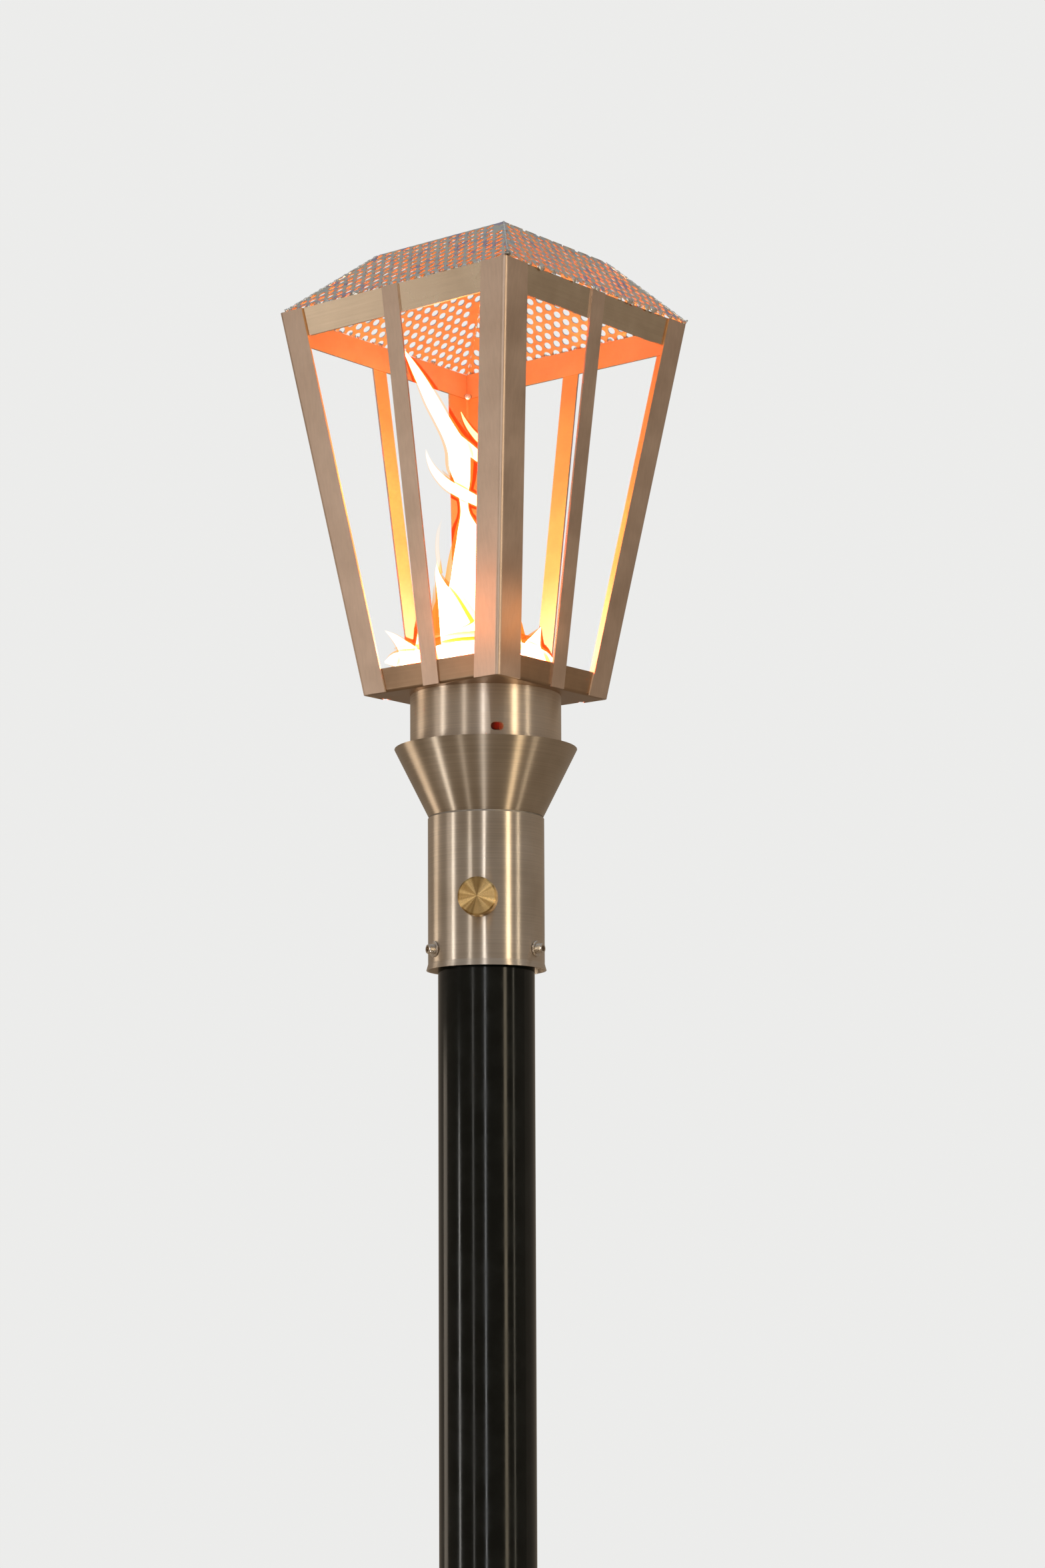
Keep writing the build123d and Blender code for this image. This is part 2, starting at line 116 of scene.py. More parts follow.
def objectPlace(tree, scale=(1, 1, 1), turn=(0, 0, 0), shift=(0, 0, 0)):
    # object coordinates through a Mapping node
    place = addNode(tree, "ShaderNodeTexCoord")
    mapping = addNode(tree, "ShaderNodeMapping")
    mapping.inputs["Location"].default_value = shift
    mapping.inputs["Rotation"].default_value = turn
    mapping.inputs["Scale"].default_value = scale
    wire(tree, place, "Object", mapping, "Vector")
    return mapping


def noiseOn(tree, mapping, scale, detail=3.0, rough=0.5):
    noise = addNode(tree, "ShaderNodeTexNoise")
    noise.inputs["Scale"].default_value = scale
    noise.inputs["Detail"].default_value = detail
    noise.inputs["Roughness"].default_value = rough
    wire(tree, mapping, "Vector", noise, "Vector")
    return noise


def rampOn(tree, source, output, stops):
    ramp = addNode(tree, "ShaderNodeValToRGB")
    elements = ramp.color_ramp.elements
    while len(elements) < len(stops):
        elements.new(0.5)
    for element, (place, colour) in zip(elements, stops):
        element.position = place
        element.color = colour if len(colour) == 4 else (*colour, 1.0)
    wire(tree, source, output, ramp, "Fac")
    return ramp


def rangeOn(tree, source, output, low, high, fromLow=0.3, fromHigh=0.7):
    span = addNode(tree, "ShaderNodeMapRange")
    span.inputs["From Min"].default_value = fromLow
    span.inputs["From Max"].default_value = fromHigh
    span.inputs["To Min"].default_value = low
    span.inputs["To Max"].default_value = high
    wire(tree, source, output, span, "Value")
    return span


def bumpOn(tree, source, output, strength, depth, under=None):
    bump = addNode(tree, "ShaderNodeBump")
    bump.inputs["Strength"].default_value = strength
    bump.inputs["Distance"].default_value = depth
    wire(tree, source, output, bump, "Height")
    if under is not None:
        wire(tree, under, "Normal", bump, "Normal")
    return bump


# small helpers for meshes worked out on grids

def gridPoints(x, y, z):
    return np.stack([x, y, z], axis=-1).reshape(-1, 3)


def gridFaces(countU, countV, closeU=False, closeV=False, capLow=False, capHigh=False):
    # quads between neighbours on the grid; each cap is one polygon over a closed row
    u = np.arange(countU if closeU else countU - 1)
    v = np.arange(countV if closeV else countV - 1)
    a, b = np.meshgrid(u, v, indexing="ij")
    nextA, nextB = (a + 1) % countU, (b + 1) % countV
    quads = np.stack([a * countV + b, nextA * countV + b,
                      nextA * countV + nextB, a * countV + nextB], axis=-1)
    faces = quads.reshape(-1, 4).tolist()
    if capLow:
        faces.append(list(range(countV)))
    if capHigh:
        faces.append(list(range(countU * countV - 1, (countU - 1) * countV - 1, -1)))
    return faces


def meshPiece(name, points, faces, smooth=True):
    mesh = bpy.data.meshes.new(name)
    mesh.from_pydata(points.tolist(), [], faces)
    mesh.polygons.foreach_set("use_smooth", np.full(len(mesh.polygons), smooth))
    mesh.update()
    piece = bpy.data.objects.new(name, mesh)
    bpy.context.scene.collection.objects.link(piece)
    return piece


# brushed stainless on the round parts: fine rings round Z, so lights draw out into upright streaks
turnedSteel = {"light": (0.84, 0.74, 0.63), "dark": (0.68, 0.58, 0.47), "rough": (0.32, 0.40),
               "anisotropy": 1.0, "ringScale": 900.0, "cloudScale": 22.0, "bump": (0.15, 0.00003)}


def multiplied(tree, first, second):
    mix = addNode(tree, "ShaderNodeMix", data_type="RGBA", blend_type="MULTIPLY")
    mix.inputs["Factor"].default_value = 1.0
    tree.links.new(first, mix.inputs["A"])
    tree.links.new(second, mix.inputs["B"])
    return mix.outputs["Result"]


def blended(tree, mask, first, second):
    mix = addNode(tree, "ShaderNodeMix", data_type="RGBA")
    tree.links.new(mask, mix.inputs["Factor"])
    for entry, value in (("A", first), ("B", second)):
        if isinstance(value, tuple):
            mix.inputs[entry].default_value = (*value, 1)
        else:
            tree.links.new(value, mix.inputs[entry])
    return mix.outputs["Result"]


def turnedSteelMaterial(name, look):
    material, tree, shader = newMaterial(name)
    rings = noiseOn(tree, objectPlace(tree, (4, 4, look["ringScale"])), 1.0, 4.0, 0.6)
    clouds = noiseOn(tree, objectPlace(tree), look["cloudScale"], 3.0)
    tint = rampOn(tree, clouds, "Fac", [(0.3, look["dark"]), (0.7, look["light"])])
    lines = rampOn(tree, rings, "Fac", [(0.35, (0.86, 0.86, 0.86)), (0.65, (1, 1, 1))])
    coloured = multiplied(tree, tint.outputs["Color"], lines.outputs["Color"])
    tree.links.new(coloured, shader.inputs["Base Color"])
    rough = rangeOn(tree, rings, "Fac", *look["rough"])
    wire(tree, rough, "Result", shader, "Roughness")
    bump = bumpOn(tree, rings, "Fac", *look["bump"])
    wire(tree, bump, "Normal", shader, "Normal")
    shader.inputs["Metallic"].default_value = 1.0
    shader.inputs["Anisotropic"].default_value = look["anisotropy"]
    shader.inputs["Anisotropic Rotation"].default_value = 0.25
    tangent = addNode(tree, "ShaderNodeTangent", direction_type="RADIAL", axis="Z")
    wire(tree, tangent, "Tangent", shader, "Tangent")
    return material


# satin sheet on the lantern: fine lines along each strip outside; inside, painted flame glow, cream low down
# and orange higher up
postSteel = {"light": (0.74, 0.58, 0.47), "dark": (0.62, 0.47, 0.37), "rough": (0.36, 0.46),
             "lines": (520, 520, 8), "paintedFlameGlow": (0.80, 0.42, 0.17), "paintedGlowLow": (0.86, 0.66, 0.46),
             "paintedGlowLevels": (2.07, 2.16), "paintedGlowRough": 0.5, "cloudScale": 26.0, "bump": (0.15, 0.00003)}
bandSteel = {"light": (0.76, 0.63, 0.48), "dark": (0.62, 0.50, 0.37), "rough": (0.20, 0.30),
             "lines": (9, 9, 700), "paintedFlameGlow": (0.80, 0.47, 0.23), "paintedGlowLow": (0.86, 0.66, 0.46),
             "paintedGlowLevels": (2.07, 2.16), "paintedGlowRough": 0.55, "cloudScale": 26.0, "bump": (0.15, 0.00003)}
# tray: the band's satin steel painted darker and browner, painted shade for its underside in shadow
trayPaintedShadeSteel = {**bandSteel, "light": (0.50, 0.34, 0.22), "dark": (0.38, 0.25, 0.16), "rough": (0.30, 0.42)}


def facingIn(tree):
    # 1 on faces that look at the lantern's middle line, 0 on the outside
    place = addNode(tree, "ShaderNodeTexCoord")
    flat = addNode(tree, "ShaderNodeVectorMath", operation="MULTIPLY")
    flat.inputs[1].default_value = (1, 1, 0)
    wire(tree, place, "Object", flat, 0)
    outward = addNode(tree, "ShaderNodeVectorMath", operation="NORMALIZE")
    wire(tree, flat, "Vector", outward, 0)
    dot = addNode(tree, "ShaderNodeVectorMath", operation="DOT_PRODUCT")
    wire(tree, outward, "Vector", dot, 0)
    wire(tree, place, "Normal", dot, 1)
    return rangeOn(tree, dot, "Value", 1, 0, -0.35, -0.05).outputs["Result"]


def satinSteelMaterial(name, look):
    material, tree, shader = newMaterial(name)
    lines = noiseOn(tree, objectPlace(tree, look["lines"]), 1.0, 4.0, 0.6)
    clouds = noiseOn(tree, objectPlace(tree), look["cloudScale"], 4.0, 0.55)
    tint = rampOn(tree, clouds, "Fac", [(0.3, look["dark"]), (0.72, look["light"])])
    shade = rampOn(tree, lines, "Fac", [(0.3, (0.92, 0.92, 0.92)), (0.7, (1, 1, 1))])
    outside = multiplied(tree, tint.outputs["Color"], shade.outputs["Color"])
    inside = facingIn(tree)
    place = addNode(tree, "ShaderNodeTexCoord")
    parts = addNode(tree, "ShaderNodeSeparateXYZ")
    wire(tree, place, "Object", parts, "Vector")
    # painted flame glow on the inside faces: cream low down, orange higher up, patchy, and less metallic so
    # the colour shows under any lamp
    glowRise = rangeOn(tree, parts, "Z", 0, 1, *look["paintedGlowLevels"])
    glowByLevel = rampOn(tree, glowRise, "Result", [(0.0, look["paintedGlowLow"]), (1.0, look["paintedFlameGlow"])])
    patches = rampOn(tree, clouds, "Fac", [(0.3, (0.8, 0.8, 0.8)), (0.7, (1, 1, 1))])
    paintedFlameGlow = multiplied(tree, glowByLevel.outputs["Color"], patches.outputs["Color"])
    tree.links.new(blended(tree, inside, outside, paintedFlameGlow), shader.inputs["Base Color"])
    rough = rangeOn(tree, clouds, "Fac", *look["rough"])
    deep = addNode(tree, "ShaderNodeMix")
    tree.links.new(inside, deep.inputs["Factor"])
    wire(tree, rough, "Result", deep, "A")
    deep.inputs["B"].default_value = look["paintedGlowRough"]
    wire(tree, deep, "Result", shader, "Roughness")
    metal = rangeOn(tree, inside.node, "Result", 1.0, 0.35, 0, 1)
    wire(tree, metal, "Result", shader, "Metallic")
    bump = bumpOn(tree, lines, "Fac", *look["bump"])
    wire(tree, bump, "Normal", shader, "Normal")
    return material


# perforated roof: steel blued and bronzed by heat; its underside carries painted flame glow in orange
heatTint = {"rough": (0.28, 0.5), "under": (0.80, 0.42, 0.17), "dimGlowPatches": 0.75, "cloudScale": 60.0,
            "tints": [(0.25, (0.34, 0.42, 0.46)), (0.42, (0.66, 0.66, 0.62)), (0.52, (0.80, 0.70, 0.52)),
                      (0.62, (0.50, 0.42, 0.56)), (0.75, (0.38, 0.50, 0.58))]}


def heatTintMaterial(name, look):
    material, tree, shader = newMaterial(name)
    clouds = noiseOn(tree, objectPlace(tree), look["cloudScale"], 4.0, 0.6)
    tint = rampOn(tree, clouds, "Fac", look["tints"])
    place = addNode(tree, "ShaderNodeTexCoord")
    parts = addNode(tree, "ShaderNodeSeparateXYZ")
    wire(tree, place, "Normal", parts, "Vector")
    # painted flame glow: faces turned downward take the orange, dimmer in cloudy patches, and less metallic
    # so it shows under any lamp
    under = rangeOn(tree, parts, "Z", 1, 0, -0.5, -0.2)
    dimmedPaintedGlow = tuple(look["dimGlowPatches"] * part for part in look["under"])
    dimGlowPatches = rampOn(tree, clouds, "Fac", [(0.3, dimmedPaintedGlow), (0.7, look["under"])])
    mixed = blended(tree, under.outputs["Result"], tint.outputs["Color"], dimGlowPatches.outputs["Color"])
    tree.links.new(mixed, shader.inputs["Base Color"])
    rough = rangeOn(tree, clouds, "Fac", *look["rough"])
    wire(tree, rough, "Result", shader, "Roughness")
    metal = rangeOn(tree, under, "Result", 1.0, 0.3, 0, 1)
    wire(tree, metal, "Result", shader, "Metallic")
    return material


# gloss black powder coat with a faint orange peel
blackCoat = {"colour": (0.0015, 0.0022, 0.0016), "dusty": (0.005, 0.006, 0.005), "rough": (0.10, 0.18),
             "peelScale": 900.0, "dustScale": 45.0, "bump": (0.08, 0.00008), "specular": 0.26}


def blackCoatMaterial(name, look):
    material, tree, shader = newMaterial(name)
    peel = noiseOn(tree, objectPlace(tree), look["peelScale"], 2.0)
    dust = noiseOn(tree, objectPlace(tree), look["dustScale"], 5.0, 0.6)
    tint = rampOn(tree, dust, "Fac", [(0.4, look["colour"]), (0.8, look["dusty"])])
    wire(tree, tint, "Color", shader, "Base Color")
    rough = rangeOn(tree, dust, "Fac", *look["rough"])
    wire(tree, rough, "Result", shader, "Roughness")
    shader.inputs["Specular IOR Level"].default_value = look["specular"]
    bump = bumpOn(tree, peel, "Fac", *look["bump"])
    wire(tree, bump, "Normal", shader, "Normal")
    return material


# brass: face turned on a lathe, so the grooves run round the knob's own axis
knobBrass = {"light": (0.86, 0.62, 0.30), "dark": (0.72, 0.50, 0.22), "rough": (0.24, 0.32),
             "anisotropy": 0.93, "grooveScale": 6000.0, "cloudScale": 120.0, "bump": (0.2, 0.00002),
             # painted highlight: the light fans of the turned face, painted into the colour by angle
             "paintedFanScale": 2.6,
             "paintedHighlightFans": [(0.36, (0.50, 0.44, 0.36)), (0.5, (0.80, 0.78, 0.74)), (0.62, (1.12, 1.1, 1.06))]}


def turnedBrassMaterial(name, look, centre, axis):
    material, tree, shader = newMaterial(name)
    place = addNode(tree, "ShaderNodeTexCoord")
    offset = addNode(tree, "ShaderNodeVectorMath", operation="SUBTRACT")
    offset.inputs[1].default_value = centre
    wire(tree, place, "Object", offset, 0)
    around = addNode(tree, "ShaderNodeVectorMath", operation="CROSS_PRODUCT")
    around.inputs[1].default_value = axis
    wire(tree, offset, "Vector", around, 0)
    reach = addNode(tree, "ShaderNodeVectorMath", operation="LENGTH")
    wire(tree, around, "Vector", reach, 0)
    toWorld = addNode(tree, "ShaderNodeVectorTransform", vector_type="VECTOR", convert_from="OBJECT",
                      convert_to="WORLD")
    wire(tree, around, "Vector", toWorld, "Vector")
    unit = addNode(tree, "ShaderNodeVectorMath", operation="NORMALIZE")
    wire(tree, toWorld, "Vector", unit, 0)
    wire(tree, unit, "Vector", shader, "Tangent")
    grooves = addNode(tree, "ShaderNodeTexNoise", noise_dimensions="1D")
    grooves.inputs["Scale"].default_value = look["grooveScale"]
    grooves.inputs["Detail"].default_value = 3.0
    tree.links.new(reach.outputs["Value"], grooves.inputs["W"])
    clouds = noiseOn(tree, objectPlace(tree), look["cloudScale"], 3.0)
    tint = rampOn(tree, clouds, "Fac", [(0.3, look["dark"]), (0.7, look["light"])])
    # painted highlight fans: noise read at the unit vector round the axis, so the tone changes with the angle
    # only; the brightest fans are lighter than the brass itself
    paintedFanNoise = addNode(tree, "ShaderNodeTexNoise")
    paintedFanNoise.inputs["Scale"].default_value = look["paintedFanScale"]
    paintedFanNoise.inputs["Detail"].default_value = 1.0
    heading = addNode(tree, "ShaderNodeVectorMath", operation="NORMALIZE")
    wire(tree, around, "Vector", heading, 0)
    wire(tree, heading, "Vector", paintedFanNoise, "Vector")
    paintedFans = rampOn(tree, paintedFanNoise, "Fac", look["paintedHighlightFans"])
    coloured = multiplied(tree, tint.outputs["Color"], paintedFans.outputs["Color"])
    tree.links.new(coloured, shader.inputs["Base Color"])
    rough = rangeOn(tree, grooves, "Fac", *look["rough"])
    wire(tree, rough, "Result", shader, "Roughness")
    bump = bumpOn(tree, grooves, "Fac", *look["bump"])
    wire(tree, bump, "Normal", shader, "Normal")
    shader.inputs["Metallic"].default_value = 1.0
    shader.inputs["Anisotropic"].default_value = look["anisotropy"]
    shader.inputs["Anisotropic Rotation"].default_value = 0.25
    return material


def plainMetalMaterial(name, light, dark, rough, scale=80.0):
    # cast, drawn or milled metal: clouded colour, uneven polish and a light bump
    material, tree, shader = newMaterial(name)
    clouds = noiseOn(tree, objectPlace(tree), scale, 5.0, 0.6)
    tint = rampOn(tree, clouds, "Fac", [(0.3, dark), (0.7, light)])
    wire(tree, tint, "Color", shader, "Base Color")
    uneven = rangeOn(tree, clouds, "Fac", *rough)
    wire(tree, uneven, "Result", shader, "Roughness")
    bump = bumpOn(tree, clouds, "Fac", 0.2, 0.0001)
    wire(tree, bump, "Normal", shader, "Normal")
    shader.inputs["Metallic"].default_value = 1.0
    return material


joints = {joint["name"]: joint for joint in frame["record"]["behaviour"]["joints"]}
knobPlace, knobAxis = (tuple(joints["knob_turn"][key]) for key in ("pos_m", "axis"))

finishes = {
    "black_powder_coat": blackCoatMaterial("blackCoat", blackCoat),
    "turned_stainless": turnedSteelMaterial("turnedSteel", turnedSteel),
    "satin_stainless": satinSteelMaterial("postSteel", postSteel),
    "tray_stainless": satinSteelMaterial("trayPaintedShadeSteel", trayPaintedShadeSteel),
    "heat_tinted_perforated": heatTintMaterial("heatTint", heatTint),
    "weld_bead": plainMetalMaterial("weldBead", (1.0, 0.97, 0.92), (0.72, 0.70, 0.66), (0.16, 0.32), 300.0),
    "turned_brass": turnedBrassMaterial("knobBrass", knobBrass, knobPlace, knobAxis),
    "fitting_brass": plainMetalMaterial("fittingBrass", (0.72, 0.53, 0.26), (0.60, 0.43, 0.20), (0.25, 0.4)),
    "gas_tube": plainMetalMaterial("gasTube", (0.66, 0.65, 0.63), (0.55, 0.54, 0.52), (0.25, 0.4)),
    "bright_steel": plainMetalMaterial(
        "brightSteel", (0.82, 0.76, 0.68), (0.62, 0.56, 0.50), (0.12, 0.28), 200.0),
    "plate_steel": plainMetalMaterial("plateSteel", (0.42, 0.38, 0.33), (0.28, 0.25, 0.22), (0.4, 0.55)),
    "burner_steel": plainMetalMaterial("burnerSteel", (0.36, 0.31, 0.28), (0.18, 0.15, 0.14), (0.4, 0.6)),
}
for part in frame["record"]["subparts"]:
    node = frame["nodes"][part["node"]]
    for index in range(len(node.material_slots)):
        node.material_slots[index].material = finishes[part["material_slot"]]
# cone: the turned steel painted darker and warmer, painted shade under the tray
conePaintedShadeSteel = {**turnedSteel, "light": (0.72, 0.61, 0.49), "dark": (0.56, 0.46, 0.35), "rough": (0.34, 0.42)}
frame["nodes"]["funnel_cup"].material_slots[0].material = turnedSteelMaterial("conePaintedShadeSteel", conePaintedShadeSteel)
# collar: the turned steel painted lighter, painted light for its bright streaks
collarPaintedLightSteel = {**turnedSteel, "light": (0.98, 0.84, 0.70), "dark": (0.84, 0.70, 0.56), "rough": (0.36, 0.44)}
frame["nodes"]["collar"].material_slots[0].material = turnedSteelMaterial("collarPaintedLightSteel", collarPaintedLightSteel)
frame["nodes"]["top_band_strips"].material_slots[0].material = satinSteelMaterial("bandSteel", bandSteel)
print("materials assigned")


# weld beads: drops along the roof's foot, a seam up each hip, and one drop in the lantern's far corner
roofBeads = {"pitch": 0.0088, "small": (0.0009, 0.0017), "big": 0.0027, "bigEvery": 4, "inset": 0.0009,
             "clear": 0.022, "rise": (-0.0002, 0.0012), "seam": 0.0009, "seamSpan": (0.02, 0.975),
             "seamFoot": (2.2, 2.0, 1.4), "sheet": 0.0007, "drop": 0.0022, "dropInset": 0.0125,
             "dropBelow": 0.001, "flat": 0.35, "ringCount": 7, "roundCount": 10,
             "seamSections": 90, "seamAround": 8, "seed": 7}


def lumpy(places, phases):
    # half the sum of three sines at the phases given, so never more than 1.5 from zero
    return sum(np.sin(places * rate + phase) for rate, phase in zip((3.1, 7.3, 12.7), phases)) / 2


def beadDrops(look, centres, along, out, sizes, draw):
    # each bead is a ball stretched along the edge and flattened outwards; its radius is
    # size * (1 + 0.22 sin(3 lon + phase) cos(lat) + 0.15 sin(2 lat + phase))
    lat = np.linspace(-np.pi / 2, np.pi / 2, look["ringCount"])[None, :, None]
    lon = np.linspace(0, 2 * np.pi, look["roundCount"], endpoint=False)[None, None, :]
    phase = draw.uniform(0, 6.28, (len(centres), 1, 1))
    waves = 0.22 * np.sin(3 * lon + phase) * np.cos(lat) + 0.15 * np.sin(2 * lat + phase)
    reach = sizes[:, None, None] * (1 + waves)
    a = reach * np.cos(lat) * np.cos(lon) * draw.uniform(1.1, 1.9, (len(centres), 1, 1))
    b = reach * np.cos(lat) * np.sin(lon) * look["flat"]
    c = reach * np.sin(lat) * np.ones_like(lon)
    up = np.array([0, 0, 1.0])
    return (centres[:, None, None, :] + a[..., None] * along[:, None, None, :]
            + b[..., None] * out[:, None, None, :] + c[..., None] * up)


def makeRoofBeads(look):
    draw = np.random.default_rng(look["seed"])
    (x0, y0, z0), (x1, y1, _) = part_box("roof_slope_panels")
    (u0, v0, _), (u1, v1, w1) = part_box("roof_top_panel")
    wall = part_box("top_band_strips")
    edge = look["clear"]  # keeps the beads clear of the corner posts
    points, faces = [], []

    def take(surface):
        # adds one closed surface, its points given as rings
        start = sum(len(part) for part in points)
        points.append(surface.reshape(-1, 3))
        grid = gridFaces(*surface.shape[:2], closeV=True, capLow=True, capHigh=True)
        faces.extend([[start + index for index in face] for face in grid])

    for start, end, outward in (((x0, y0), (x1, y0), (0, -1)), ((x1, y0), (x1, y1), (1, 0)),
                                ((x1, y1), (x0, y1), (0, 1)), ((x0, y1), (x0, y0), (-1, 0))):
        start, end, outward = np.array(start), np.array(end), np.array(outward)
        length = np.linalg.norm(end - start)
        count = int((length - 2 * edge) / look["pitch"])
        places = edge + (np.arange(count) + draw.uniform(0.1, 0.9, count)) * (length - 2 * edge) / count
        way = (end - start) / length
        face = wall[0 if min(outward) < 0 else 1][:2]
        lip = max(np.dot(outward, start), np.dot(outward, face)) - look["inset"]
        flat = start + places[:, None] * way + outward * (lip - np.dot(outward, start))
        centres = np.column_stack([flat, z0 + draw.uniform(*look["rise"], count)])
        sizes = draw.uniform(*look["small"], count)
        bigOnes = slice(2, None, look["bigEvery"])
        sizes[bigOnes] = look["big"] * draw.uniform(0.75, 1.0, len(sizes[bigOnes]))
        along = np.tile(np.append(way, 0), (count, 1))
        out = np.tile(np.append(outward, 0), (count, 1))
        for ball in beadDrops(look, centres, along, out, sizes, draw):
            take(ball)
    # a lumpy tube up each hip: sections carried along the straight line from foot to top
    for low, high in (((x0, y0), (u0, v0)), ((x1, y0), (u1, v0)),
                      ((x1, y1), (u1, v1)), ((x0, y1), (u0, v1))):
        low, high = np.array([*low, z0 + look["sheet"]]), np.array([*high, w1])
        t = np.linspace(*look["seamSpan"], look["seamSections"])
        way = (high - low) / np.linalg.norm(high - low)
        side = np.cross(way, (0, 0, 1.0))
        side /= np.linalg.norm(side)
        above = np.cross(side, way)
        radius = look["seam"] * (0.85 + 0.4 * lumpy(t * 40, draw.uniform(0, 6.28, 3)))
        radius[:3] *= look["seamFoot"]
        turn = np.linspace(0, 2 * np.pi, look["seamAround"], endpoint=False)
        middle = low + t[:, None] * (high - low)
        ring = np.cos(turn)[None, :, None] * side + np.sin(turn)[None, :, None] * above
        take(middle[:, None, :] + radius[:, None, None] * ring)
    # the drop that hangs in the far corner, just under the band
    corner = np.array([[wall[0][0] + look["dropInset"], wall[1][1] - look["dropInset"],
                        wall[0][2] - look["dropBelow"]]])
    along, out = np.array([[0.7, 0.7, 0]]), np.array([[0.7, -0.7, 0]])
    take(beadDrops(look, corner, along, out, np.array([look["drop"]]), draw)[0])
    kept = np.clip(np.vstack(points), *cadBox)  # inside the CAD box
    piece = meshPiece("roofWeldBeads", kept, faces)
    piece.data.materials.append(finishes["weld_bead"])
    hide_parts("roof_tack_welds")
    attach(piece, "lantern")


makeRoofBeads(roofBeads)
print("roof beads made")


# flame: an effect over the burner, not part of the torch; tongues of glowing gas, side by side in one
# upright plane; a tongue's rows are place to the right, level, place behind the middle, half width and
# half depth, all in millimetres
tongues = {
    "flameBed": {"glow": 620.0, "rows": [
        (-80, 2076, 0, 1, 1), (-70, 2078, 0, 7, 12), (-50, 2079, 0, 8, 20), (-20, 2083, 0, 11, 30),
        (20, 2083, 0, 11, 30), (44, 2079, 0, 8, 18), (54, 2077, 0, 1, 1),
    ]},
    "flameBody": {"glow": 620.0, "rows": [
        (-6, 2071, 0, 38, 28), (-6, 2090, 0, 38, 28), (-9, 2108, 0, 36, 26), (-11, 2124, 0, 30, 24),
        (-12, 2140, 0, 21, 18), (-12, 2155, 0, 18, 15), (-12, 2170, 0, 15, 13), (-14, 2184, 0, 10, 9),
        (-16, 2196, 0, 4.5, 6), (-17, 2208, 0, 4.5, 5), (-18, 2222, 0, 8, 7), (-20, 2234, 0, 11, 8),
        (-21, 2246, 0, 11, 8), (-27, 2259, 0, 8.5, 7), (-34, 2272, 0, 7.5, 6), (-42, 2287, 0, 7, 5),
        (-49, 2301, 0, 5.5, 4.5), (-55, 2312, 0, 4, 3.5), (-60, 2321, 0, 2.3, 2),
        (-66, 2331, 0, 0.3, 0.3),
    ]},
    "flameShoulder": {"glow": 620.0, "rows": [
        (-24, 2104, -3, 16, 14), (-30, 2124, -3, 10, 10), (-35, 2137, -3, 5, 6),
        (-38, 2147, -3, 2.2, 3), (-38, 2157, -3, 0.3, 0.3),
    ]},
    "flameBranch": {"glow": 520.0, "rows": [
        (-25, 2257, 2, 7, 6), (-15, 2250, 2, 6, 5), (-5, 2242, 2, 5, 5), (6, 2232, 2, 4, 4),
        (14, 2222, 2, 1, 1),
    ]},
    "flameCurl": {"glow": 420.0, "rows": [
        (-47, 2247, -4, 0.3, 0.3), (-45, 2239, -4, 1.8, 2.5), (-40, 2229, -4, 3.6, 4),
        (-31, 2219, -4, 5, 5), (-20, 2212, -4, 5.5, 6), (-8, 2206, -2, 5, 6), (4, 2200, 0, 3, 4),
        (12, 2196, 0, 1, 1),
    ]},
    "flameLeft": {"glow": 620.0, "rows": [
        (-57, 2073, 2, 14, 10), (-60, 2082, 2, 11, 9), (-66, 2090, 2, 6, 6), (-73, 2097, 2, 3, 3),
        (-80, 2102, 2, 0.3, 0.3),
    ]},
    "flameLeftTwin": {"glow": 620.0, "rows": [
        (-50, 2073, 6, 10, 8), (-50, 2088, 6, 8, 6), (-51, 2100, 6, 4, 4), (-53, 2114, 6, 0.3, 0.3),
    ]},
    "flameRight": {"glow": 620.0, "rows": [
        (36, 2073, -4, 17, 12), (37, 2086, -4, 10, 9), (40, 2094, -4, 5, 4), (44, 2103, -4, 0.3, 0.3),
    ]},
    "flameRightTwin": {"glow": 620.0, "rows": [
        (20, 2073, 2, 15, 14), (22, 2092, 2, 9, 9), (24, 2106, 2, 4, 4), (25, 2119, 2, 0.3, 0.3),
    ]},
    "flameWisp": {"glow": 60.0, "rows": [
        (-34, 2190, -6, 0.3, 0.3), (-37, 2180, -6, 1.2, 2), (-38, 2168, -6, 1.6, 2.5),
        (-37, 2156, -6, 1.6, 3), (-35, 2146, -6, 1, 1),
    ]},
    "flameSpur": {"glow": 200.0, "rows": [
        (-19, 2279, 4, 0.3, 0.3), (-16, 2272, 4, 1.6, 2), (-11, 2264, 4, 2.4, 3), (-4, 2256, 4, 3, 3),
        (4, 2248, 4, 1, 1),
    ]},
}
# three nested skins: a thin warm veil, an orange sheath and a white-hot core
flameVeil = {"share": 1.35, "absorb": (1.0, 0.72, 0.42), "density": 120.0,
             "colour": (1.0, 0.40, 0.12), "glow": 6.0}
flameSheath = {"share": 1.0, "absorb": (1.0, 0.62, 0.16), "density": 190.0,
               "colour": (1.0, 0.38, 0.10), "glow": 60.0}
flameCore = {"share": 0.76, "colour": (1.0, 0.84, 0.60)}


def smoothRows(rows, count):
    # Catmull-Rom curve through the rows, sampled evenly from the first to the last
    rows = np.array(rows, dtype=float)
    ends = np.vstack([2 * rows[0] - rows[1], rows, 2 * rows[-1] - rows[-2]])
    place = np.linspace(0, len(rows) - 1, count)
    step = np.minimum(place.astype(int), len(rows) - 2)
    t = (place - step)[:, None]
    a, b, c, d = (ends[step + shift] for shift in range(4))
    return 0.5 * (2 * b + (c - a) * t + (2 * a - 5 * b + 4 * c - d) * t**2 + (3 * b - a - 3 * c + d) * t**3)


